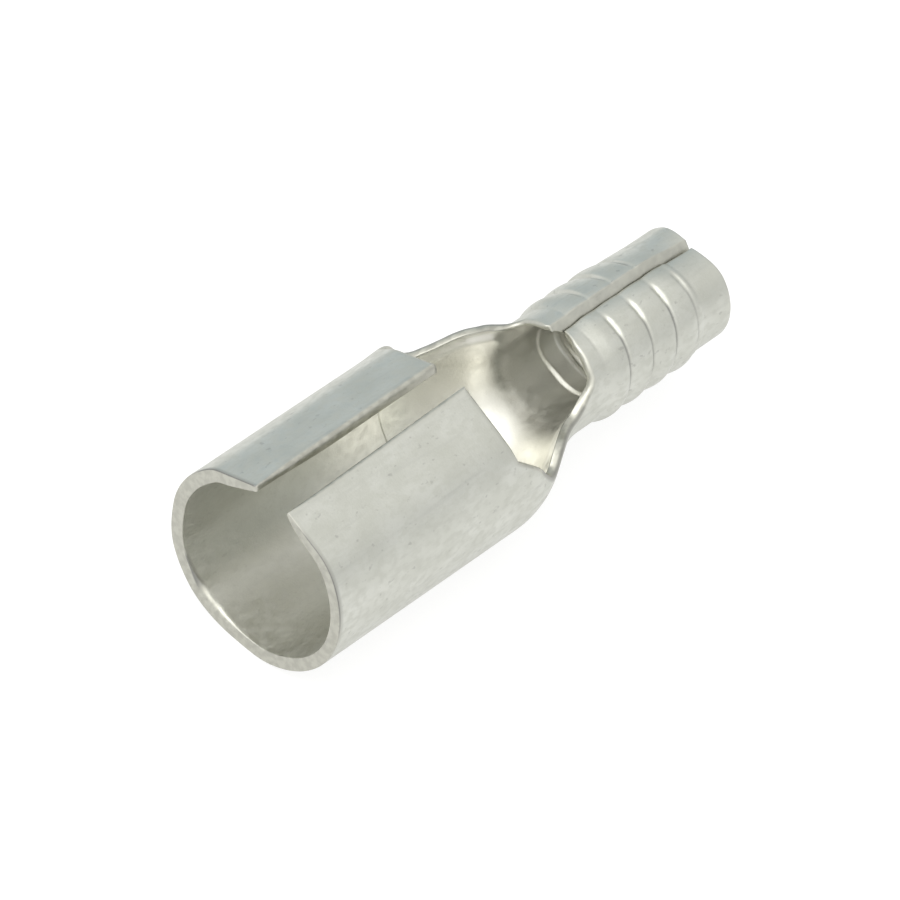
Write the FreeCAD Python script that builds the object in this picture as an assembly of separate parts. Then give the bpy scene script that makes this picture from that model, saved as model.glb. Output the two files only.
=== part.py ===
import FreeCAD, Part
import math
import os

# Uninsulated round crimp socket, stamped and rolled from one strip of tinned brass.
# The origin is the centre of the socket's mouth, and the wire enters at the far end of +X.
# The socket's axis is the X axis, its open slot is on top (+Z), and +Y is its left side.
# Lengths are in millimetres. Angles are in degrees around the X axis, measured from the top.

# Sheet
sheet = 0.40

# Socket barrel
socket_bore_r = 2.53
socket_length = 6.66
bend_start_angle = 56.0
lip_slope = 22.0
bend_outer_r = 1.66
mouth_gap_left = 0.66
mouth_gap_right = 0.56
rear_gap_left = 0.58
rear_gap_right = 0.44
flat_depth = 0.06

# Notch between the socket's wings and the neck
notch_top_angle = 58.0
notch_bottom_angle = 71.0
notch_lean = 0.14
notch_run = 0.80

# Neck, where the strip narrows between the two barrels
neck_start = 7.20
neck_slope = 30.0
neck_shoulder_r = 2.90
neck_throat_r = 2.30
axis_drop = 0.20
mitre_room = 0.08
step_height = 0.04

# Cut edges of the neck, each point as (share of the way from notch to flap, angle from the top)
left_rim = ((0.11, 80.0), (0.23, 84.0), (0.42, 69.0), (0.63, 56.0), (0.84, 53.0))
right_rim = ((0.11, 81.0), (0.27, 88.5), (0.48, 80.0), (0.75, 80.0), (0.90, 66.0))

# Wire barrel
wire_bore_r = 1.26
wire_end = 16.42
left_flap_front = 10.92
right_flap_front = 11.12
left_corner_angle = 48.0
right_corner_angle = 56.0
flap_corner_run = 0.22
flap_corner_fall = 0.26
groove_count = 4
# Shares of the barrel's length from the left flap's front, so that the grooves move with its end
first_groove_share = 0.269091
groove_pitch_share = 0.163636
first_land_share = 0.172727
groove_half_width = 0.17
groove_floor = 0.08
groove_depth = 0.10
land_rise = 0.05
land_crown = 0.03
ridge_height = 0.05

# Lapped seam of the wire barrel
seam_clearance = 0.03
seam_left_y = 0.30
seam_lean = 42.0
tuck_start_angle = 60.0
tuck_end_angle = 30.0
tuck_drop = 0.17

# Sizes that follow from the ones above
socket_r = socket_bore_r + sheet
wire_r = wire_bore_r + sheet
mitre_x = neck_start - mitre_room
overrun = sheet
clear_of_part = 2 * socket_r

X_AXIS = FreeCAD.Vector(1, 0, 0)
Y_AXIS = FreeCAD.Vector(0, 1, 0)
Z_AXIS = FreeCAD.Vector(0, 0, 1)
WIRE_AXIS_POINT = FreeCAD.Vector(0, 0, -axis_drop)


def point(x, y, z):
    return FreeCAD.Vector(x, y, z)


def sine(angle):
    return math.sin(math.radians(angle))


def cosine(angle):
    return math.cos(math.radians(angle))


def tangent(angle):
    return math.tan(math.radians(angle))


def line(start, end):
    return Part.LineSegment(start, end).toShape()


def arc(start, middle, end):
    return Part.Arc(start, middle, end).toShape()


def polygon_face(corners):
    return Part.Face(Part.makePolygon(corners + corners[:1]))


def half_section_line(side, offset, gap_y):
    """One face of the sheet in the socket's section: the roll, the tighter bend and the flat lip."""
    roll_r = socket_r - offset
    bend_r = bend_outer_r - offset
    centre_y = (socket_r - bend_outer_r) * sine(bend_start_angle)
    centre_z = (socket_r - bend_outer_r) * cosine(bend_start_angle)
    roll_middle = (180 + bend_start_angle) / 2
    bend_middle = (bend_start_angle + lip_slope) / 2

    def on_bend(angle):
        return point(0, side * (centre_y + bend_r * sine(angle)), centre_z + bend_r * cosine(angle))

    bottom = point(0, 0, -roll_r)
    bend_start = on_bend(bend_start_angle)
    lip_start = on_bend(lip_slope)
    lip_run = abs(lip_start.y) - gap_y
    lip_tip = point(0, side * gap_y, lip_start.z + lip_run * tangent(lip_slope))
    edges = [
        arc(bottom, point(0, side * roll_r * sine(roll_middle), roll_r * cosine(roll_middle)), bend_start),
        arc(bend_start, on_bend(bend_middle), lip_start),
        line(lip_start, lip_tip),
    ]
    return edges, bottom, lip_tip


def socket_barrel():
    """The rolled C section, drawn out to the neck, with a slot that narrows to the rear."""
    closest_tip = min(mouth_gap_left, mouth_gap_right, rear_gap_left, rear_gap_right) / 2
    length = mitre_x + overrun
    halves = []
    for side in (1, -1):
        outer, outer_bottom, outer_tip = half_section_line(side, 0, closest_tip)
        inner, inner_bottom, inner_tip = half_section_line(side, sheet, closest_tip)
        ends = [line(outer_bottom, inner_bottom), line(outer_tip, inner_tip)]
        face = Part.Face(Part.Wire(Part.__sortEdges__(outer + inner + ends)))
        halves.append(face.extrude(X_AXIS * length))
    slot_floor = socket_bore_r / 2
    slot = polygon_face([
        point(0, mouth_gap_left, slot_floor),
        point(socket_length, rear_gap_left, slot_floor),
        point(length, rear_gap_left, slot_floor),
        point(length, -rear_gap_right, slot_floor),
        point(socket_length, -rear_gap_right, slot_floor),
        point(0, -mouth_gap_right, slot_floor),
    ]).extrude(Z_AXIS * socket_r)
    return halves[0].fuse(halves[1]).cut([slot, mitre_block(0, clear_of_part)])


def neck_line(offset):
    """One face of the sheet along the neck: shoulder arc, straight cone and throat arc, on the X axis."""
    shoulder_r = neck_shoulder_r - offset
    throat_r = neck_throat_r + offset
    start = point(neck_start, 0, socket_r - offset)
    shoulder_centre = start - Z_AXIS * shoulder_r
    arcs_fall = (neck_shoulder_r + neck_throat_r) * (1 - cosine(neck_slope))
    cone_run = (socket_r - wire_r - arcs_fall) / tangent(neck_slope)
    run = (neck_shoulder_r + neck_throat_r) * sine(neck_slope) + cone_run
    end = point(neck_start + run, 0, wire_r - offset)
    throat_centre = end + Z_AXIS * throat_r

    def on_shoulder(slope):
        return shoulder_centre + point(shoulder_r * sine(slope), 0, shoulder_r * cosine(slope))

    def on_throat(slope):
        return throat_centre - point(throat_r * sine(slope), 0, throat_r * cosine(slope))

    shoulder = arc(start, on_shoulder(neck_slope / 2), on_shoulder(neck_slope))
    cone = line(on_shoulder(neck_slope), on_throat(neck_slope))
    throat = arc(on_throat(neck_slope), on_throat(neck_slope / 2), end)
    return [shoulder, cone, throat], start, end


def neck_run():
    """Length of the leaning tube between its two mitres, along its own axis."""
    start, end = neck_line(0)[1:]
    return end.x - start.x + 2 * mitre_room


def neck_tilt():
    """How far the neck's own axis leans down, so that it ends on the wire barrel's axis."""
    return math.degrees(math.asin(axis_drop / neck_run()))


def wire_start():
    return mitre_x + neck_run() * cosine(neck_tilt())


def neck_radius(x):
    """Outer radius of the neck this far along."""
    start, end = neck_line(0)[1:]
    shoulder_end = start.x + neck_shoulder_r * sine(neck_slope)
    throat_start = end.x - neck_throat_r * sine(neck_slope)
    if x < shoulder_end:
        return socket_r - neck_shoulder_r + math.sqrt(neck_shoulder_r ** 2 - (x - start.x) ** 2)
    if x > throat_start:
        run = max(end.x - x, 0)
        return wire_r + neck_throat_r - math.sqrt(neck_throat_r ** 2 - run ** 2)
    shoulder_fall = neck_shoulder_r * (1 - cosine(neck_slope))
    return socket_r - shoulder_fall - (x - shoulder_end) * tangent(neck_slope)


def mitre_block(start, length):
    """A wide block square to the mitres where the leaning neck meets the two level barrels."""
    corner = point(mitre_x + start, -clear_of_part, -clear_of_part)
    block = Part.makeBox(length, 2 * clear_of_part, 2 * clear_of_part, corner)
    block.rotate(point(mitre_x, 0, 0), Y_AXIS, neck_tilt() / 2)
    return block


def mitre_gap():
    return neck_run() * cosine(neck_tilt() / 2)


def neck():
    """The tapering tube between the barrels, turned about its own leaning axis and coined inside."""
    outer, outer_start, outer_end = neck_line(0)
    inner, inner_start, inner_end = neck_line(sheet - step_height)
    before = X_AXIS * -(mitre_room + overrun)
    after = X_AXIS * (mitre_room + overrun)
    full_inner = outer_start - Z_AXIS * sheet
    ends = [
        line(outer_start, outer_start + before),
        line(outer_start + before, full_inner + before),
        line(full_inner + before, full_inner),
        line(full_inner, inner_start),
        line(outer_end, outer_end + after),
        line(outer_end + after, inner_end + after),
        line(inner_end + after, inner_end),
    ]
    profile = Part.Face(Part.Wire(Part.__sortEdges__(outer + inner + ends)))
    tube = profile.revolve(point(0, 0, 0), X_AXIS, 360)
    tube.rotate(point(mitre_x, 0, 0), Y_AXIS, neck_tilt())
    return tube.common(mitre_block(0, mitre_gap()))


def barrel_length():
    return wire_end - left_flap_front


def groove_places():
    first = left_flap_front + first_groove_share * barrel_length()
    return [first + i * groove_pitch_share * barrel_length() for i in range(groove_count)]


def wire_wall_profile():
    """Long section of the wire barrel's wall: pressed grooves outside, matching ridges inside."""
    start = wire_start() - overrun
    land_r = wire_r + land_rise
    here = point(groove_places()[0] - first_land_share * barrel_length(), 0, wire_r)
    edges = [line(point(start, 0, wire_r), here)]
    for x in groove_places():
        before = point(x - groove_half_width, 0, land_r)
        floor_start = point(x - groove_floor / 2, 0, land_r - groove_depth)
        floor_end = point(x + groove_floor / 2, 0, land_r - groove_depth)
        after = point(x + groove_half_width, 0, land_r)
        crown = point((here.x + before.x) / 2, 0, (here.z + before.z) / 2 + land_crown)
        edges.append(arc(here, crown, before))
        edges += [line(before, floor_start), line(floor_start, floor_end), line(floor_end, after)]
        here = after
    corners = [here, point(here.x + groove_half_width, 0, wire_r), point(wire_end, 0, wire_r)]
    corners.append(point(wire_end, 0, wire_bore_r))
    for x in reversed(groove_places()):
        corners.append(point(x + groove_half_width, 0, wire_bore_r))
        corners.append(point(x, 0, wire_bore_r - ridge_height))
        corners.append(point(x - groove_half_width, 0, wire_bore_r))
    corners += [point(start, 0, wire_bore_r), point(start, 0, wire_r)]
    edges += [line(a, b) for a, b in zip(corners, corners[1:])]
    return Part.Face(Part.Wire(edges))


def seam_top():
    """Upper edge of the left flap's cut face."""
    return WIRE_AXIS_POINT + point(0, seam_left_y, wire_r)


def beyond_seam(side, outer_point):
    """Everything past the leaning seam face, on the given side of it, as a block to cut away."""
    start = wire_start() - 2 * overrun
    lean = point(0, -sine(seam_lean), -cosine(seam_lean))
    low = outer_point + lean * wire_r
    high = outer_point - lean * overrun
    block = polygon_face([
        point(start, high.y, high.z),
        point(start, low.y, low.z),
        point(start, low.y + side * wire_r, low.z),
        point(start, high.y + side * wire_r, high.z),
    ])
    return block.extrude(X_AXIS * (wire_end + overrun - start))


def left_flap():
    """The left half of the closed crimp barrel. Its edge ends proud of the right flap's."""
    profile = wire_wall_profile()
    profile.translate(WIRE_AXIS_POINT)
    profile.rotate(WIRE_AXIS_POINT, X_AXIS, -180)
    half = profile.revolve(WIRE_AXIS_POINT, X_AXIS, 180)
    return half.cut(beyond_seam(-1, seam_top()))


def right_flap():
    """The right half, which bends in a little tighter near the seam and so dips beside the left one."""
    root = wire_wall_profile()
    root.translate(WIRE_AXIS_POINT)
    root.rotate(WIRE_AXIS_POINT, X_AXIS, tuck_start_angle)
    half = root.copy().revolve(WIRE_AXIS_POINT, X_AXIS, 180 - tuck_start_angle)
    shift = tuck_drop / (1 - cosine(tuck_start_angle))
    away = point(0, -sine(tuck_start_angle), cosine(tuck_start_angle))
    tuck = root.revolve(WIRE_AXIS_POINT + away * shift, X_AXIS, -(tuck_start_angle + tuck_end_angle))
    seam_low = seam_top() - Y_AXIS * (seam_clearance / cosine(seam_lean))
    return half.fuse(tuck.cut(beyond_seam(1, seam_low)))


def rim_point(x, angle):
    """A point of the cut edge, seen from the side, at this angle round the neck."""
    axis_z = (mitre_x - x) * tangent(neck_tilt())
    return point(x, 0, axis_z + neck_radius(x) * cosine(angle))


def side_opening(rim, flap_x, corner_angle):
    """Side view of what the die cut away: behind the wing, into the notch, along the neck, up the flap."""
    notch_x = socket_length + notch_lean + notch_run
    notch_top = point(socket_length + notch_lean, 0, socket_r * cosine(notch_top_angle))
    notch_bottom = point(notch_x, 0, socket_r * cosine(notch_bottom_angle))
    wing_top = point(socket_length, 0, socket_r)
    rim_points = [notch_bottom]
    for share, angle in rim:
        rim_points.append(rim_point(notch_x + share * (flap_x - notch_x), angle))
    corner = point(flap_x, 0, -axis_drop + wire_r * cosine(corner_angle) + flap_corner_run)
    rim_points.append(corner - point(flap_corner_run, 0, flap_corner_fall))
    rim_curve = Part.BSplineCurve()
    rim_curve.interpolate(rim_points)
    flap_top = point(flap_x, 0, clear_of_part)
    edges = [
        line(point(socket_length, 0, clear_of_part), wing_top),
        line(wing_top, notch_top),
        line(notch_top, notch_bottom),
        rim_curve.toShape(),
        line(rim_points[-1], corner),
        line(corner, flap_top),
        line(flap_top, point(socket_length, 0, clear_of_part)),
    ]
    return Part.Face(Part.Wire(edges))


def terminal():
    left_opening = side_opening(left_rim, left_flap_front, left_corner_angle)
    right_opening = side_opening(right_rim, right_flap_front, right_corner_angle)
    across = Y_AXIS * clear_of_part
    front = socket_barrel().fuse(neck())
    under_corner = point(-overrun, -clear_of_part, flat_depth - socket_r - clear_of_part)
    under = Part.makeBox(wire_end, 2 * clear_of_part, clear_of_part, under_corner)
    front = front.cut([left_opening.extrude(across), right_opening.extrude(-across), under])
    left_opening.translate(-across)
    right_opening.translate(-across)
    behind_throat = mitre_block(mitre_gap() - clear_of_part, clear_of_part)
    left = left_flap().cut([left_opening.extrude(2 * across), behind_throat])
    right = right_flap().cut([right_opening.extrude(2 * across), behind_throat])
    return front.fuse([left, right])


if __name__ == "__main__":
    os.makedirs("parts", exist_ok=True)
    shape = terminal()
    print("solids", len(shape.Solids), "volume", round(shape.Volume, 3), "valid", shape.isValid())
    print("centre of mass", shape.Solids[0].CenterOfMass, "box", shape.BoundBox)
    shape.exportStep("parts/socket_terminal.step")
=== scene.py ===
import math

import bpy
import numpy as np
from mathutils import Matrix, Vector
from mathutils.kdtree import KDTree


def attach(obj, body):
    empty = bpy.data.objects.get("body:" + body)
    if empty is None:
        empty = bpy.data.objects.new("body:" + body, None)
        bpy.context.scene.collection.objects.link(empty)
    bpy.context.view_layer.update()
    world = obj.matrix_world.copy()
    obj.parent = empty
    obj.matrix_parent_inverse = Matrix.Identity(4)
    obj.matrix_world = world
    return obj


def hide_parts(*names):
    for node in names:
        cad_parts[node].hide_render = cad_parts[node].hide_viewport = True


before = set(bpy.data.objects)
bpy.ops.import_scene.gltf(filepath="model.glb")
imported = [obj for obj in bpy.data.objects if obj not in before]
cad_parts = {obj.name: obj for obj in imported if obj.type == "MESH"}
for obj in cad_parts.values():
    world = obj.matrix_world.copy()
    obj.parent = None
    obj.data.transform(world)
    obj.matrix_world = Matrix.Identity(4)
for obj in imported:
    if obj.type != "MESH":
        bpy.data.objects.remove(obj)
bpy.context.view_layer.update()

# Lengths are in millimetres where no comment says metres. Angles are in degrees, and q is one from the top.
MM = 0.001
# The sheet's two sides, as the sign of Y
LEFT = 1
RIGHT = -1

# Sizes that the part's source has or works out too
SHEET = 0.40
SOCKET_R = 2.93
SOCKET_LENGTH = 6.66
BEND_START = 56.0
BEND_R = 1.66
LIP_SLOPE = 22.0
REAR_GAP = {LEFT: 0.58, RIGHT: 0.44}
FLAT_DEPTH = 0.06
NECK_START = 7.20
NECK_SLOPE = 30.0
SHOULDER_R = 2.90
THROAT_R = 2.30
AXIS_DROP = 0.20
MITRE_X = 7.12
WIRE_START = 10.87
WIRE_R = 1.66
WIRE_END = 16.42
SEAM_LEFT_Y = 0.30
SEAM_LEAN = 42.0
SEAM_CLEARANCE = 0.03
TUCK_START = 60.0
TUCK_DROP = 0.17

# Where the wings' rear edges turn into the neck's rims, and where the barrel begins below
NOTCH_X = 7.60
NOTCH_Q = 71.0
BARREL_FRONT = 11.0

# Small bends of the real sheet, and the half width that it stays within
MOUTH_GAP = {LEFT: 0.52, RIGHT: 0.60}
WING_DIP = 0.04
WING_DIP_RUN = 4.0
BEND_FLATTER = 0.09
MOUTH_FULLER = 0.10
DROOP_START = 14.6
DROOP = {LEFT: 0.27, RIGHT: 0.12}
FLAT_SINK = 0.013
FLAT_BLEND = 0.05
WIDEST = 2.929

# Coined step inside, behind the mitre
STEP_X = 7.15
STEP_RUN = 0.02
STEP_HEIGHT = 0.025

# Pressed grooves: their places below and on top, how deep each one is, and how dark the painted shade line
# at its foot is, on the two sides
GROOVES_LOW = (12.22, 13.10, 14.05, 15.02)
GROOVES_TOP = (12.50, 13.42, 14.33, 15.12)
GROOVE_DEPTH_SHARES = {LEFT: (1.0, 1.0, 1.0, 0.12), RIGHT: (1.0, 1.0, 1.0, 0.55)}
GROOVE_SHADE_SHARES = {LEFT: (0.15, 0.20, 0.60, 0.0), RIGHT: (0.75, 0.60, 0.85, 0.40)}
GROOVES_FROM_X = 11.2
FRONT_LAND_RUN = 0.85
FRONT_DIP_SHARE = 0.12
FRONT_DIP_HALF = 0.08
SEAM_DIP_SHARE = 0.06
SHADE_LINE_HALF = 0.06
SHADE_LINE_AHEAD = 0.02

# Thickness and roundness of the cut edges
RIM_SHEET = 0.27
WING_REAR_SHEET = 0.30
FLAP_SHEET = {LEFT: 0.14, RIGHT: 0.20}
EDGE_R = 0.03
LIP_EDGE_R = 0.10
ROLLED_EDGE_R = 0.12
WORN_EDGE_R = 0.17
ROLL_REACH = 0.45
ROLL_NEIGHBOURS = 6
ARC_ANGLES = (30, 60, 90)

# Outline of the cut sheet on each side: points as (x, angle from the top)
WING_REAR = {
    LEFT: ((SOCKET_LENGTH, 20.0), (SOCKET_LENGTH, 40.0), (6.74, 52.0), (6.90, 60.0), (7.20, 65.0),
           (NOTCH_X, NOTCH_Q)),
    RIGHT: ((SOCKET_LENGTH, 20.0), (6.68, 34.0), (6.74, 46.0), (6.82, 58.0), (7.10, 63.0),
            (NOTCH_X, NOTCH_Q)),
}
RIM = {
    LEFT: ((NOTCH_X, NOTCH_Q), (8.00, 80.0), (8.25, 83.5), (8.41, 83.8), (8.70, 80.3), (9.07, 73.0),
           (9.40, 64.3), (9.79, 55.5), (10.27, 51.0), (10.60, 49.0), (10.80, 46.0), (10.90, 40.0)),
    RIGHT: ((NOTCH_X, NOTCH_Q), (8.00, 81.0), (8.40, 88.0), (8.67, 88.5), (8.87, 84.0), (9.29, 80.0),
            (9.79, 82.0), (10.23, 81.0), (10.55, 73.0), (10.76, 66.0), (10.96, 60.0), (11.06, 52.0)),
}
# Front ends of the two flaps, as (angle from the top, x)
FLAP_FRONT = {
    LEFT: ((10.4, 11.02), (14.0, 10.95), (22.0, 10.92), (40.0, 10.90)),
    RIGHT: ((-20.0, 11.38), (-5.0, 11.30), (10.0, 11.17), (25.0, 11.13), (40.0, 11.07), (52.0, 11.06)),
}
# Thickness at the mouth, as (way round from the lip's tip, thickness). The lip's own way counts as 1.
WAY_PER_DEGREE = 0.029
LIP_TAPER = {
    LEFT: ((0.0, 0.18), (0.4, 0.27), (0.9, 0.36), (1.6, 0.40)),
    RIGHT: ((0.0, 0.10), (0.4, 0.26), (0.8, 0.31), (1.6, 0.35), (3.3, 0.35), (4.5, 0.40)),
}

# Cells of the grid that covers the sheet
LOWER_COLUMNS = 52
ROLL_COLUMNS = 6
BEND_COLUMNS = 12
LIP_COLUMNS = 10
FLAP_COLUMNS = 26
SOCKET_ROWS = 62
NECK_ROWS = 40
WIRE_ROWS = 160
STEP_ROWS = (-0.004, 0.004, 0.014, 0.022)

# Colours of the tin
DARK_PATCH = (0.612, 0.618, 0.562, 1)
PALE_PATCH = (0.680, 0.686, 0.634, 1)
MOTTLE = (0.56, 0.565, 0.51, 1)
ROLLING_LINE = (0.52, 0.525, 0.485, 1)
SPECK = (0.40, 0.40, 0.37, 1)
# Painted light: a paler tin mixed into the inner face, most in the neck, for light that the lamps do not
# bring there
PAINTED_LIGHT_TIN = (0.87, 0.86, 0.80, 1)
DARK_CUT = (0.46, 0.455, 0.40, 1)
PALE_CUT = (0.57, 0.565, 0.50, 1)
# Dark grey for the lines along the cut edges, partly the shears' own line and partly painted shade, and for
# the painted shade in the grooves
SHEAR_LINE_AND_PAINTED_SHADE = (0.22, 0.22, 0.21, 1)
FINE_BUMP = 0.000006
WAVE_BUMP = 0.00002

# The photo's camera: its place is in metres
SENSOR = 36.0
LENS = 271.8
CAMERA_PLACE = (-0.09319, -0.0662, 0.1268)
CAMERA_RIGHT = (0.6773, -0.7178, 0.1615)
CAMERA_VIEW = (0.5737, 0.3777, -0.7268)

# The studio's walls, and on them a bluish grey card and two soft glows, each with its direction
WALL_LOW = (0.80, 0.81, 0.81, 1)
WALL_HIGH = (1.0, 1.0, 0.98, 1)
WALL_HIGH_AT = 0.85
WALL_LEVEL = 0.98
WALL_FALL = 0.12
CARD = (0.61, 0.685, 0.725, 1)
CARD_DIRECTION = (0.60, 0.77, 0.20)
FRONT_GLOW = (0.36, 0.35, 0.33)
FRONT_GLOW_DIRECTION = (-0.60, -0.64, 0.46)
TOP_GLOW = (0.62, 0.62, 0.60)
TOP_GLOW_DIRECTION = (-0.28, -0.10, 0.95)

# The floor, its half width in metres, and its own light: on other things, as seen, and more for the camera
FLOOR_HALF = 0.4
FLOOR_GREY = (0.32, 0.32, 0.32, 1)
FLOOR_LIGHT = 0.45
FLOOR_SEEN = 0.62
FLOOR_SEEN_MORE = 0.14

# The lamp above, in metres and watts
LAMP_PLACE = (-0.085, 0.055, 0.19)
LAMP_TARGET = (0.008, 0, 0)
LAMP_SIZE = 0.16
LAMP_POWER = 0.13


def lerp(a, b, t):
    return a + (b - a) * t


def ramp(value, start, end):
    """Smooth share from 0 at start to 1 at end. Where end is below start, it grows as the value falls."""
    t = min(max((value - start) / (end - start), 0.0), 1.0)
    return t * t * (3 - 2 * t)


def sine(angle):
    return math.sin(math.radians(angle))


def cosine(angle):
    return math.cos(math.radians(angle))


def tangent(angle):
    return math.tan(math.radians(angle))


def unit(vector):
    return vector / np.linalg.norm(vector)


def curve_through(points, x):
    """Monotone smooth curve through (x, value) points."""
    xs = [p[0] for p in points]
    ys = [p[1] for p in points]
    if x <= xs[0]:
        return ys[0]
    if x >= xs[-1]:
        return ys[-1]
    slopes = [(ys[i + 1] - ys[i]) / (xs[i + 1] - xs[i]) for i in range(len(xs) - 1)]
    leans = [slopes[0]] + [0.0] * (len(xs) - 2) + [slopes[-1]]
    for i in range(1, len(slopes)):
        if slopes[i - 1] * slopes[i] > 0:
            leans[i] = 2 * slopes[i - 1] * slopes[i] / (slopes[i - 1] + slopes[i])
    i = 0
    while x > xs[i + 1]:
        i += 1
    run = xs[i + 1] - xs[i]
    t = (x - xs[i]) / run
    return ((1 + 2 * t) * (1 - t) ** 2 * ys[i] + t * (1 - t) ** 2 * run * leans[i]
            + t * t * (3 - 2 * t) * ys[i + 1] + t * t * (t - 1) * run * leans[i + 1])


def neck_radius(x):
    """Outer radius of the plain roll: the shoulder's arc, the straight taper and the throat's arc."""
    s = sine(NECK_SLOPE)
    rise = 1 - cosine(NECK_SLOPE)
    slope = tangent(NECK_SLOPE)
    run = (SHOULDER_R + THROAT_R) * s + (SOCKET_R - WIRE_R - (SHOULDER_R + THROAT_R) * rise) / slope
    a = x - NECK_START
    if a <= 0:
        return SOCKET_R
    if a < SHOULDER_R * s:
        return SOCKET_R - SHOULDER_R + math.sqrt(SHOULDER_R ** 2 - a * a)
    if a > run:
        return WIRE_R
    if a > run - THROAT_R * s:
        return WIRE_R + THROAT_R - math.sqrt(THROAT_R ** 2 - (run - a) ** 2)
    return SOCKET_R - SHOULDER_R * rise - (a - SHOULDER_R * s) * slope


def axis_z(x):
    return -AXIS_DROP * ramp(x, MITRE_X, WIRE_START)


def groove_places(q):
    """Where the grooves run at this angle: they lean, further back on top than below."""
    height = (1 + cosine(q)) / 2
    return [lerp(low, top, height) for low, top in zip(GROOVES_LOW, GROOVES_TOP)]


def groove_dip(x, side, q):
    """Depth of the narrow pressed grooves at this place, which fade out beside the seam."""
    if x < GROOVES_FROM_X:
        return 0.0
    places = groove_places(q)
    if side == LEFT:
        half = 0.11
        depth = lerp(0.06, 0.09, ramp(q, 40, 120))
        fade = ramp(q, 6, 38)
    else:
        half = lerp(0.12, 0.08, ramp(q, 20, 34))
        depth = 0.055 - 0.035 * ramp(q, 22, 32) + 0.045 * ramp(q, 85, 115)
        fade = ramp(q, -4, 10)
    half = lerp(half, 0.13, ramp(q, 80, 120))
    dip = FRONT_DIP_SHARE * max(0.0, 1 - abs(x - places[0] + FRONT_LAND_RUN) / FRONT_DIP_HALF)
    for place, share in zip(places, GROOVE_DEPTH_SHARES[side]):
        away = abs(x - place) / half
        if away < 1:
            dip = max(dip, share * (1 - away) ** 2 * (1 + 2 * away))
    return depth * dip * lerp(SEAM_DIP_SHARE, 1.0, fade)


def land_height(x, side, q):
    """How far the crowned lands between the grooves stand out: fullest in front on top, and behind below."""
    places = groove_places(q)
    front = places[0] - FRONT_LAND_RUN
    rise = lerp(0.04, 0.06, ramp(q, 60, 150)) * ramp(x, front - 0.05, front + 0.50)
    if side == LEFT:
        rise *= ramp(x, places[-2] + 1.45, places[-2] + 0.15)
        crown = lerp(0.010, 0.075, ramp(q, 16, 52))
        lean = lerp(0.65, 1.6, ramp(q, 75, 145))
        ends = [front] + places[:-1]
    else:
        rise *= ramp(x, places[-1] + 0.26, places[-1] + 0.10)
        crown = lerp(0.018, 0.085, ramp(q, 45, 95))
        lean = lerp(1.0, 1.8, ramp(q, 30, 90))
        ends = [front] + places
    for start, end in zip(ends, ends[1:]):
        if start < x < end:
            return rise + crown * math.sin(math.pi * ((x - start) / (end - start)) ** lean)
    return rise


def inner_ridge(x, q):
    """Height of the broad ridges that the grooves raise inside the barrel, further back and higher below."""
    low = ramp(q, 108, 163)
    height = 0.0
    for place in groove_places(q):
        front = place - 0.38 + 0.23 * low
        back = place + 0.30 + 0.22 * low
        height += ramp(x, front, front + 0.16) - ramp(x, back, back + 0.08)
    return lerp(0.04, 0.085, low) * height


def upright(x):
    """How far the neck's walls stand straight up instead of closing in."""
    return ramp(x, NOTCH_X, 8.50) * ramp(x, 10.95, 10.10)


def socket_upper(x, side, q):
    """Point of the socket's bend, or of its lip where q is less than the lip's slope."""
    turn = max(q, LIP_SLOPE)
    y = (SOCKET_R - BEND_R) * sine(BEND_START) + BEND_R * sine(turn)
    z = (SOCKET_R - BEND_R) * cosine(BEND_START) + BEND_R * cosine(turn)
    if q < LIP_SLOPE:
        gap = lerp(MOUTH_GAP[side], REAR_GAP[side], min(x / SOCKET_LENGTH, 1.0))
        run = (y - gap) * (1 - q / LIP_SLOPE)
        y -= run
        z += run * tangent(LIP_SLOPE)
    return (x, side * y, z)


def plain_outer(x, side, q):
    """Point of the plain rolled sheet's outer face. q is the angle from the top."""
    if x < NOTCH_X and q < BEND_START:
        return socket_upper(x, side, q)
    if x < WIRE_START:
        r = neck_radius(x)
        wide = sine(q)
        if q < 90:
            wide += (1 - wide) * upright(x)
        return (x, side * r * wide, axis_z(x) + r * cosine(q))
    r = WIRE_R + land_height(x, side, q) - groove_dip(x, side, q)
    shift = 0.0
    if side == RIGHT and q < TUCK_START:
        shift = TUCK_DROP / (1 - cosine(TUCK_START))
    y = shift * sine(TUCK_START) + (r - shift) * sine(q)
    return (x, side * y, axis_z(x) + shift * cosine(TUCK_START) + (r - shift) * cosine(q))


def outer(x, side, q):
    """Point of the sheet's outer face, with the small bends that the real one has."""
    px, py, pz = plain_outer(x, side, q)
    if x < NOTCH_X and side == LEFT:
        pz -= WING_DIP * max(0.0, 1 - x / WING_DIP_RUN) * ramp(q, 75, 35)
        pz -= BEND_FLATTER * ramp(q, 30, 55) * ramp(q, 95, 70) * ramp(x, 7.5, 6.0)
        full = MOUTH_FULLER * ramp(q, 92, 120) * ramp(q, 168, 140) * ramp(x, 6.0, 0.0)
        py += full * sine(q)
        pz += full * cosine(q)
    if x > DROOP_START:
        pz -= DROOP[side] * ramp(x, DROOP_START, 16.4) * ramp(q, 42, -3)
    flat = -(SOCKET_R - FLAT_DEPTH) - FLAT_SINK
    if pz < flat + 10 * FLAT_BLEND:
        pz += FLAT_BLEND * math.log(1 + math.exp((flat - pz) / FLAT_BLEND))
    return (px, max(-WIDEST, min(WIDEST, py)), pz)


def rim_q(x, side):
    return curve_through(RIM[side], x)


def front_x(side, q):
    return curve_through(FLAP_FRONT[side], q)


def wing_x(side, q):
    return curve_through([(angle, x) for x, angle in WING_REAR[side]], q)


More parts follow.
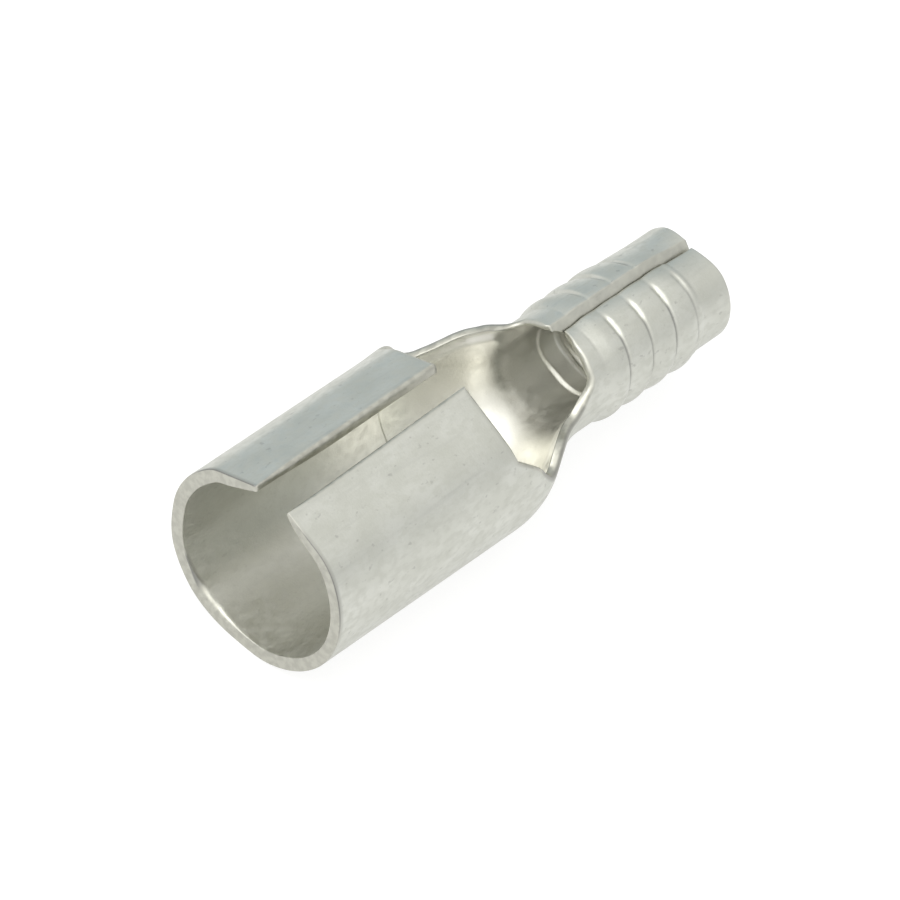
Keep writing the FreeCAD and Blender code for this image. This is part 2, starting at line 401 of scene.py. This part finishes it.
def thickness(x, side, q):
    """The sheet's thickness here: full in the open, thinner where the die has cut and rolled its edges."""
    thin = STEP_HEIGHT * ramp(x, STEP_X, STEP_X + STEP_RUN) * ramp(x, 10.9, 10.6)
    here = SHEET - thin
    if x < NOTCH_X:
        if q < 140:
            way = q / LIP_SLOPE if q < LIP_SLOPE else 1 + (q - LIP_SLOPE) * WAY_PER_DEGREE
            mouth = curve_through(LIP_TAPER[side], way)
            rear = lerp(WING_REAR_SHEET, SHEET, ramp(way, 0, 0.9))
            here = min(here, lerp(mouth, rear, ramp(x, 0, 2.8)) - thin)
        return here
    if x < 11.6:
        away = (q - rim_q(x, side)) * math.radians(neck_radius(x))
        rim = lerp(RIM_SHEET, SHEET, ramp(x, 10.8, 11.3))
        rim = lerp(rim, SHEET, ramp(away, 0, 0.5))
        front = front_x(side, q)
        flap = lerp(FLAP_SHEET[side], SHEET, ramp(x, front, front + 0.6))
        here = min(here, lerp(rim, flap, ramp(q, 75, 50) * ramp(x, 10.3, 10.8)))
    return here + land_height(x, side, q) - groove_dip(x, side, q) + inner_ridge(x, q)


def outward(x, side, q):
    """Outward normal of the outer face, from small steps along and around."""
    step = 0.004
    turn = 0.4
    along = np.array(outer(x + step, side, q)) - np.array(outer(x - step, side, q))
    around = np.array(outer(x, side, q + turn)) - np.array(outer(x, side, q - turn))
    normal = unit(np.cross(along, around))
    from_axis = np.array(outer(x, side, q)) - np.array((x, 0, axis_z(x)))
    return normal if normal @ from_axis > 0 else -normal


def seam_q():
    """Angles round the barrel at which the two flaps end on the leaning seam, outer face."""
    test_x = 11.3
    low, high = -30.0, 30.0
    for _ in range(40):
        middle = (low + high) / 2
        _, y, z = outer(test_x, RIGHT, middle)
        seam_y = SEAM_LEFT_Y - (axis_z(test_x) + WIRE_R - z) * tangent(SEAM_LEAN)
        if y > seam_y - SEAM_CLEARANCE / cosine(SEAM_LEAN):
            low = middle
        else:
            high = middle
    return {LEFT: math.degrees(math.asin(SEAM_LEFT_Y / WIRE_R)), RIGHT: (low + high) / 2}


SEAM_Q = seam_q()


def socket_columns():
    """Angles of the socket's columns on one side, from the bottom to the lip's tip."""
    columns = []
    stops = (180, NOTCH_Q, BEND_START, LIP_SLOPE, 0)
    counts = (LOWER_COLUMNS, ROLL_COLUMNS, BEND_COLUMNS, LIP_COLUMNS)
    for start, end, count in zip(stops, stops[1:], counts):
        columns += [lerp(start, end, i / count) for i in range(count)]
    return columns + [0.0]


def socket_rows(add):
    """Rows over the socket from the mouth back, each from the left lip over the bottom to the right lip."""
    shares = [i / SOCKET_ROWS for i in range(SOCKET_ROWS + 1)]
    shares = sorted(shares + [(STEP_X + d) / NOTCH_X for d in STEP_ROWS])
    columns = [(LEFT, q) for q in reversed(socket_columns())] + [(RIGHT, q) for q in socket_columns()[1:]]
    rows = []
    for share in shares:
        row = []
        for side, q in columns:
            end = NOTCH_X if q >= NOTCH_Q else wing_x(side, q)
            row.append(add(end * share, side, q))
        rows.append(row)
    return rows


def neck_rows(add, first):
    """Rows over the neck. They lean, so that both rims end on the corner of their flap."""
    rows = [first]
    for j in range(1, NECK_ROWS + 1):
        t = j / NECK_ROWS
        row = []
        for i in range(len(first)):
            side = LEFT if i < LOWER_COLUMNS else RIGHT
            u = abs(i - LOWER_COLUMNS) / LOWER_COLUMNS
            rim_x = lerp(NOTCH_X, RIM[side][-1][0], t)
            x = lerp(lerp(NOTCH_X, BARREL_FRONT, t), rim_x, u * u)
            row.append(add(x, side, lerp(180, rim_q(rim_x, side), u)))
        rows.append(row)
    return rows


def wire_columns(side):
    """Columns over half the barrel, from the seam to the bottom, as (side, x of the front end, angle)."""
    corner_x, corner_q = RIM[side][-1]
    columns = []
    for i in range(FLAP_COLUMNS):
        q = lerp(SEAM_Q[side], corner_q, i / FLAP_COLUMNS)
        columns.append((side, front_x(side, q), q))
    for i in range(LOWER_COLUMNS + 1):
        u = 1 - i / LOWER_COLUMNS
        columns.append((side, lerp(BARREL_FRONT, corner_x, u * u), lerp(180, corner_q, u)))
    return columns


def wire_rows(add, neck_end):
    """Rows over the wire barrel. The lower part of the first one is the neck's last row."""
    columns = wire_columns(LEFT) + wire_columns(RIGHT)[-2::-1]
    rows = []
    for j in range(WIRE_ROWS + 1):
        t = j / WIRE_ROWS
        row = []
        for k, (side, front, q) in enumerate(columns):
            low = k - FLAP_COLUMNS
            if j == 0 and 0 <= low < len(neck_end):
                row.append(neck_end[low])
                continue
            x = lerp(lerp(front, WIRE_END, t), lerp(BARREL_FRONT, WIRE_END, t), ramp(t, 0, 0.12))
            row.append(add(x, side, q))
        rows.append(row)
    return rows


def quads(rows):
    """Faces between neighbouring rows."""
    return [(a[i], a[i + 1], b[i + 1], b[i]) for a, b in zip(rows, rows[1:]) for i in range(len(a) - 1)]


def build_sheet():
    """Places over the whole cut sheet, each as (x, side, angle from the top), and the faces between them."""
    places = []

    def add(x, side, q):
        places.append((x, side, q))
        return len(places) - 1

    socket = socket_rows(add)
    wing = ROLL_COLUMNS + BEND_COLUMNS + LIP_COLUMNS
    neck = neck_rows(add, socket[-1][wing:-wing])
    wire = wire_rows(add, neck[-1])
    return places, quads(socket) + quads(neck) + quads(wire)


def boundary_loop(faces):
    """The sheet's one closed edge, in order."""
    sides = {pair for face in faces for pair in zip(face, face[1:] + face[:1])}
    following = {a: b for a, b in sides if (b, a) not in sides}
    loop = [min(following)]
    while following[loop[-1]] != loop[0]:
        loop.append(following[loop[-1]])
    return loop


def edge_radius(x, side, q):
    """Radius of the outer edge: rolled over by the die along the slot, the neck and the flaps' fronts."""
    if x > 11.4 or x == 0:
        return EDGE_R
    if x < NOTCH_X:
        return lerp(EDGE_R, LIP_EDGE_R, ramp(x, 0, 1.2))
    if x > 10.7:
        front = lerp(ROLLED_EDGE_R, EDGE_R, ramp(x, 11.0, 11.4))
        return lerp(EDGE_R, front, ramp(q, SEAM_Q[side], SEAM_Q[side] + 14))
    return ROLLED_EDGE_R


def inner_edge_radius(x, side, q):
    """Radius of the inner edge: small, but worn rounder in places low on the mouth's left."""
    if x > 0 or side == RIGHT:
        return EDGE_R
    worn = ramp(q, 130, 148) * ramp(q, 184, 160)
    wavy = 0.86 + 0.14 * cosine((q - 147) * 27.7)
    return EDGE_R + WORN_EDGE_R * worn * wavy


def shear_line_and_painted_shade(x, side, q):
    """Strength of the dark line along the outer and the inner edge: partly the shears' own dark line, partly
    painted shade on the neck's rims and on the right lip, where the edge would catch light.
    """
    if NOTCH_X < x < 10.6:
        return 0.5, 0.3
    if x > 0:
        return 0.0, 0.0
    if side == LEFT:
        return 0.9 * ramp(q, 66, 44), 0.9 * ramp(q, 118, 126) * ramp(q, 147, 139)
    return 0.9 * lerp(0.3, 1.0, ramp(q, 8, 16)) * ramp(q, 105, 65), 0.0


def groove_painted_shade(x, side, q):
    """Strength of the painted shade line at the foot of the pressed grooves, where their narrow valleys fall
    into shade.
    """
    if side == LEFT:
        fade = ramp(q, 14, 20) * ramp(q, 80, 50)
    else:
        fade = ramp(q, 24, 34) * ramp(q, 112, 72)
    near = [max(0.0, 1 - abs(x - place + SHADE_LINE_AHEAD) / SHADE_LINE_HALF) for place in groove_places(q)]
    return fade * max(share * n for share, n in zip(GROOVE_SHADE_SHARES[side], near))


def painted_inner_light(x, q):
    """How much light is painted into the inner face's colour: most in the neck, less in the socket and the
    barrel.
    """
    reach = lerp(10.25, 10.65, ramp(q, 128, 153))
    neck = ramp(x, 7.7, 8.7) * ramp(x, reach + 0.35, reach)
    socket = lerp(0.46, 0.16, ramp(x, STEP_X, STEP_X + STEP_RUN))
    return max(neck, socket if x < 9.0 else 0.75 * ramp(x, 10.4, 10.8))


def inner_face(places, top, normals, thick):
    """The sheet's inner face. In the barrel it is set in square to the plain roll, for smooth ridges."""
    low = top.copy()
    for i, (x, side, q) in enumerate(places):
        plain = np.array((0.0, side * sine(q), cosine(q)))
        low[i] -= lerp(normals[i], plain, ramp(x, BARREL_FRONT, BARREL_FRONT + 0.3)) * thick[i]
    return low


def edge_directions(loop, top, normals):
    """Directions that point out of the sheet, square to its edge."""
    directions = {}
    for i, v in enumerate(loop):
        along = unit(top[loop[(i + 1) % len(loop)]] - top[loop[i - 1]])
        directions[v] = unit(np.cross(normals[v], along))
    return directions


def lean_seam(places, loop, top, low):
    """Moves the inner edge of both flaps sideways, so that the seam's cut faces lean."""
    seam_normal = np.array((0.0, -cosine(SEAM_LEAN), sine(SEAM_LEAN)))
    for v in loop:
        x, side, q = places[v]
        if x > 10.9 and abs(q - SEAM_Q[side]) < 1e-6:
            low[v][1] -= (low[v] - top[v]) @ seam_normal / seam_normal[1]


def draw_in(loop, directions, top, low, radius, worn):
    """Moves the points near the edge back with it, so that its rounding has room."""
    tree = KDTree(len(loop))
    for v in loop:
        tree.insert(Vector(top[v]), v)
    tree.balance()
    for v in sorted(set(range(len(top))) - set(loop)):
        found = tree.find_n(Vector(top[v]), ROLL_NEIGHBOURS)
        gap = found[0][2]
        if gap >= ROLL_REACH:
            continue
        weights = [1 / (distance + 0.01) ** 2 for _, _, distance in found]
        share = (1 - gap / ROLL_REACH) / sum(weights)
        for face, size in ((top, radius), (low, worn)):
            pulls = [directions[near] * size[near] * w for (_, near, _), w in zip(found, weights)]
            face[v] -= share * sum(pulls)


def round_rim(loop, directions, top, low, radius, worn):
    """Rings of points round the cut edge, from the outer arc to the inner one. Trims both faces to them."""
    rings = [[] for _ in range(2 * len(ARC_ANGLES))]
    for v in loop:
        p, q = top[v].copy(), low[v].copy()
        out = directions[v]
        down = unit(q - p)
        r, e = radius[v], worn[v]
        drop = min(r, 0.9 * np.linalg.norm(q - p) - e)
        for k, angle in enumerate(ARC_ANGLES):
            s, rise = sine(angle), 1 - cosine(angle)
            rings[k].append(p - out * r * (1 - s) + down * drop * rise)
            rings[-1 - k].append(q - out * e * (1 - s) - down * e * rise)
        top[v] = p - out * r
        low[v] = q - out * e
    return rings


def paint(mesh, places, loop):
    """Attributes for the tin: bare cut faces, dark lines along the edges that are partly the shears' and
    partly painted shade, painted shade in the grooves, and painted light on the inner face.
    """
    inner = len(places)
    rings = range(2 * inner, len(mesh.vertices), len(loop))
    cut_face, dark, bright = ([0.0] * len(mesh.vertices) for _ in range(3))
    for i, v in enumerate(loop):
        x, side, q = places[v]
        # Dark lines along the edges: partly the shears', partly painted shade
        outside, inside = shear_line_and_painted_shade(x, side, q)
        cut_face[v] = cut_face[inner + v] = 0.25
        dark[v], dark[inner + v] = 0.5 * outside, 0.5 * inside
        for ring in rings:
            cut_face[ring + i] = 0.6 if x > 10.9 else 0.9
        for ring in rings[:2]:
            dark[ring + i] = outside
        for ring in rings[-2:]:
            dark[ring + i] = inside
    for v, (x, side, q) in enumerate(places):
        # Painted light on the inner face, most in the neck
        bright[inner + v] = painted_inner_light(x, q)
        # Painted shade in the grooves' valleys, in the same attribute as the edges' dark lines
        dark[v] = max(dark[v], groove_painted_shade(x, side, q))
    for name, values in (("cut_face", cut_face), ("shear_line_and_painted_shade", dark), ("painted_inner_light", bright)):
        layer = mesh.attributes.new(name, "FLOAT", "POINT")
        layer.data.foreach_set("value", values)


def sheet_mesh(name):
    """The whole sheet: outer face, inner face and a rounded rim between them."""
    places, faces = build_sheet()
    top = np.array([outer(*place) for place in places])
    normals = np.array([outward(*place) for place in places])
    thick = np.array([thickness(*place) for place in places])
    low = inner_face(places, top, normals, thick)
    loop = boundary_loop(faces)
    directions = edge_directions(loop, top, normals)
    lean_seam(places, loop, top, low)
    radius = {v: edge_radius(*places[v]) for v in loop}
    worn = {v: min(inner_edge_radius(*places[v]), 0.5 * thick[v]) for v in loop}
    draw_in(loop, directions, top, low, radius, worn)
    rings = round_rim(loop, directions, top, low, radius, worn)

    inner = len(places)
    count = len(loop)
    all_faces = [face[::-1] for face in faces] + [tuple(inner + v for v in face) for face in faces]
    chain = [loop] + [[2 * inner + k * count + i for i in range(count)] for k in range(len(rings))]
    chain.append([inner + v for v in loop])
    for a, b in zip(chain, chain[1:]):
        all_faces += [(a[i - 1], a[i], b[i], b[i - 1]) for i in range(count)]
    mesh = bpy.data.meshes.new(name)
    mesh.from_pydata((np.vstack([top, low] + rings) * MM).tolist(), [], all_faces)
    mesh.update()
    for poly in mesh.polygons:
        poly.use_smooth = True
    paint(mesh, places, loop)
    return mesh


def node(tree, kind, **values):
    made = tree.nodes.new(kind)
    for key, value in values.items():
        setattr(made, key, value)
    return made


def feed(tree, socket, value):
    """Links the socket to an output, or sets it to a plain value."""
    if isinstance(value, bpy.types.NodeSocket):
        tree.links.new(value, socket)
    else:
        socket.default_value = value


def math_node(tree, operation, *values):
    made = node(tree, "ShaderNodeMath", operation=operation)
    for socket, value in zip(made.inputs, values):
        feed(tree, socket, value)
    return made.outputs["Value"]


def map_range(tree, value, start, end, low=0.0, high=1.0, kind="LINEAR"):
    made = node(tree, "ShaderNodeMapRange", interpolation_type=kind)
    for name, number in (("From Min", start), ("From Max", end), ("To Min", low), ("To Max", high)):
        made.inputs[name].default_value = number
    feed(tree, made.inputs["Value"], value)
    return made.outputs["Result"]


def mix_colors(tree, share, a, b):
    made = node(tree, "ShaderNodeMix", data_type="RGBA")
    for socket, value in ((made.inputs["Factor"], share), (made.inputs[6], a), (made.inputs[7], b)):
        feed(tree, socket, value)
    return made.outputs[2]


def scaled(tree, vector, scale):
    made = node(tree, "ShaderNodeVectorMath", operation="SCALE")
    feed(tree, made.inputs[0], vector)
    feed(tree, made.inputs["Scale"], scale)
    return made.outputs["Vector"]


def added(tree, a, b):
    made = node(tree, "ShaderNodeVectorMath", operation="ADD")
    feed(tree, made.inputs[0], a)
    feed(tree, made.inputs[1], b)
    return made.outputs["Vector"]


def mix_shaders(tree, share, a, b):
    made = node(tree, "ShaderNodeMixShader")
    for socket, value in zip(made.inputs, (share, a, b)):
        feed(tree, socket, value)
    return made.outputs["Shader"]


def bump(tree, height, distance):
    made = node(tree, "ShaderNodeBump")
    made.inputs["Strength"].default_value = 0.5
    made.inputs["Distance"].default_value = distance
    feed(tree, made.inputs["Height"], height)
    return made


def attribute(tree, name):
    return node(tree, "ShaderNodeAttribute", attribute_name=name).outputs["Fac"]


def tin_material(name):
    """Satin tin plate: mottled, with faint rolling lines, fine grain and a few dark specks, with painted
    light on the inner face and painted shade in the dark lines along the edges and the grooves.
    """
    mat = bpy.data.materials.new(name)
    mat.use_nodes = True
    tree = mat.node_tree
    shader = tree.nodes["Principled BSDF"]
    shader.inputs["Metallic"].default_value = 1.0
    coords = node(tree, "ShaderNodeTexCoord")

    def noise(scale, detail, stretch):
        """Noise that is drawn out along the sheet's rolling direction, X, where stretch is under 1."""
        place = node(tree, "ShaderNodeMapping")
        place.inputs["Scale"].default_value = (stretch, 1, 1)
        feed(tree, place.inputs["Vector"], coords.outputs["Object"])
        made = node(tree, "ShaderNodeTexNoise")
        made.inputs["Scale"].default_value = scale
        made.inputs["Detail"].default_value = detail
        feed(tree, made.inputs["Vector"], place.outputs["Vector"])
        return made.outputs["Fac"]

    patches = noise(1300.0, 4.0, 0.7)
    mottle = noise(5200.0, 3.0, 0.7)
    grain = noise(16000.0, 2.0, 1.0)
    lines = noise(5000.0, 3.0, 0.08)
    specks = noise(6200.0, 2.0, 0.7)
    color = mix_colors(tree, map_range(tree, patches, 0.36, 0.64), DARK_PATCH, PALE_PATCH)
    color = mix_colors(tree, map_range(tree, mottle, 0.42, 0.62, high=0.55), color, MOTTLE)
    color = mix_colors(tree, map_range(tree, lines, 0.58, 0.78, high=0.45), color, ROLLING_LINE)
    color = mix_colors(tree, map_range(tree, specks, 0.66, 0.74, high=0.50), color, SPECK)
    # Painted light on the inner face, most in the neck, less in the socket and the barrel
    color = mix_colors(tree, attribute(tree, "painted_inner_light"), color, PAINTED_LIGHT_TIN)
    bare = mix_colors(tree, map_range(tree, mottle, 0.4, 0.6), DARK_CUT, PALE_CUT)
    color = mix_colors(tree, attribute(tree, "cut_face"), color, bare)
    # Dark lines along the edges, partly the shears' and partly painted shade, and painted shade in the
    # grooves' valleys
    color = mix_colors(tree, attribute(tree, "shear_line_and_painted_shade"), color, SHEAR_LINE_AND_PAINTED_SHADE)
    feed(tree, shader.inputs["Base Color"], color)
    feed(tree, shader.inputs["Roughness"], map_range(tree, mottle, 0.3, 0.7, 0.34, 0.50))
    fine = bump(tree, grain, FINE_BUMP)
    wave = bump(tree, patches, WAVE_BUMP)
    feed(tree, wave.inputs["Normal"], fine.outputs["Normal"])
    feed(tree, shader.inputs["Normal"], wave.outputs["Normal"])
    return mat


def add_camera():
    data = bpy.data.cameras.new("camera")
    data.sensor_width = SENSOR
    data.lens = LENS
    data.clip_start = 0.01
    data.clip_end = 10
    cam = bpy.data.objects.new("camera", data)
    right = Vector(CAMERA_RIGHT).normalized()
    view = Vector(CAMERA_VIEW).normalized()
    right = (right - view * right.dot(view)).normalized()
    up = right.cross(view)
    place = Matrix((right, up, -view)).transposed().to_4x4()
    place.translation = Vector(CAMERA_PLACE)
    cam.matrix_world = place
    bpy.context.scene.collection.objects.link(cam)
    bpy.context.scene.camera = cam


def add_lamp():
    """A round soft lamp above the object, on its left and in front."""
    data = bpy.data.lights.new("overhead", "AREA")
    data.shape = "ELLIPSE"
    data.size = LAMP_SIZE
    data.size_y = LAMP_SIZE
    data.energy = LAMP_POWER
    lamp = bpy.data.objects.new("overhead", data)
    lamp.location = LAMP_PLACE
    lamp.rotation_euler = (Vector(LAMP_TARGET) - Vector(LAMP_PLACE)).to_track_quat("-Z", "Y").to_euler()
    bpy.context.scene.collection.objects.link(lamp)


def add_world():
    """A studio that is white to the camera. The object sees pale walls, a grey card and two soft glows."""
    world = bpy.data.worlds.new("studio")
    bpy.context.scene.world = world
    world.use_nodes = True
    tree = world.node_tree
    back = tree.nodes["Background"]
    ray = node(tree, "ShaderNodeTexCoord").outputs["Generated"]
    axes = node(tree, "ShaderNodeSeparateXYZ")
    feed(tree, axes.inputs["Vector"], ray)

    def toward(direction, start, end):
        """Share that grows as the ray's cosine with this direction goes from start to end."""
        near = node(tree, "ShaderNodeVectorMath", operation="DOT_PRODUCT")
        feed(tree, near.inputs[0], ray)
        near.inputs[1].default_value = Vector(direction).normalized()
        return map_range(tree, near.outputs["Value"], start, end, kind="SMOOTHSTEP")

    walls = node(tree, "ShaderNodeValToRGB")
    low, high = walls.color_ramp.elements
    low.position = 0.0
    low.color = WALL_LOW
    high.position = WALL_HIGH_AT
    high.color = WALL_HIGH
    feed(tree, walls.inputs["Fac"], axes.outputs["Z"])
    color = mix_colors(tree, toward(CARD_DIRECTION, 0.74, 0.95), walls.outputs["Color"], CARD)
    fall = math_node(tree, "MULTIPLY", axes.outputs["X"], WALL_FALL)
    color = scaled(tree, color, math_node(tree, "SUBTRACT", WALL_LEVEL, fall))
    color = added(tree, color, scaled(tree, FRONT_GLOW, toward(FRONT_GLOW_DIRECTION, 0.66, 0.98)))
    color = added(tree, color, scaled(tree, TOP_GLOW, toward(TOP_GLOW_DIRECTION, 0.72, 1.0)))
    feed(tree, back.inputs["Color"], color)
    back.inputs["Strength"].default_value = 1.0
    white = node(tree, "ShaderNodeBackground")
    white.inputs["Color"].default_value = (1, 1, 1, 1)
    seen = node(tree, "ShaderNodeLightPath").outputs["Is Camera Ray"]
    surface = mix_shaders(tree, seen, back.outputs["Background"], white.outputs["Background"])
    feed(tree, tree.nodes["World Output"].inputs["Surface"], surface)


def floor_material():
    """Grey that takes the soft shadow, with a light of its own, stronger where it is seen or mirrored."""
    mat = bpy.data.materials.new("floor_white")
    mat.use_nodes = True
    tree = mat.node_tree
    shader = tree.nodes["Principled BSDF"]
    shader.inputs["Base Color"].default_value = FLOOR_GREY
    shader.inputs["Roughness"].default_value = 0.9
    shader.inputs["Specular IOR Level"].default_value = 0.0
    path = node(tree, "ShaderNodeLightPath")
    camera = path.outputs["Is Camera Ray"]
    mirrored = math_node(tree, "MAXIMUM", path.outputs["Is Glossy Ray"], path.outputs["Is Transmission Ray"])
    unseen = node(tree, "ShaderNodeEmission")
    unseen.inputs["Strength"].default_value = FLOOR_LIGHT
    seen = node(tree, "ShaderNodeEmission")
    strength = math_node(tree, "MULTIPLY_ADD", camera, FLOOR_SEEN_MORE, FLOOR_SEEN)
    feed(tree, seen.inputs["Strength"], strength)
    share = math_node(tree, "MAXIMUM", camera, mirrored)
    light = mix_shaders(tree, share, unseen.outputs["Emission"], seen.outputs["Emission"])
    both = node(tree, "ShaderNodeAddShader")
    feed(tree, both.inputs[0], shader.outputs["BSDF"])
    feed(tree, both.inputs[1], light)
    feed(tree, tree.nodes["Material Output"].inputs["Surface"], both.outputs["Shader"])
    return mat


def add_floor():
    z = -(SOCKET_R - FLAT_DEPTH) * MM
    corners = [(x * FLOOR_HALF, y * FLOOR_HALF, z) for x, y in ((-1, -1), (1, -1), (1, 1), (-1, 1))]
    mesh = bpy.data.meshes.new("floor")
    mesh.from_pydata(corners, [], [(0, 1, 2, 3)])
    floor = bpy.data.objects.new("floor", mesh)
    bpy.context.scene.collection.objects.link(floor)
    mesh.materials.append(floor_material())


terminal = bpy.data.objects.new("terminal_sheet", sheet_mesh("terminal_sheet"))
bpy.context.scene.collection.objects.link(terminal)
terminal.data.materials.append(tin_material("tinned_brass"))
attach(terminal, "root")
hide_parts("socket_terminal")

add_world()
add_floor()
add_camera()
add_lamp()

view = bpy.context.scene.view_settings
view.view_transform = "Standard"
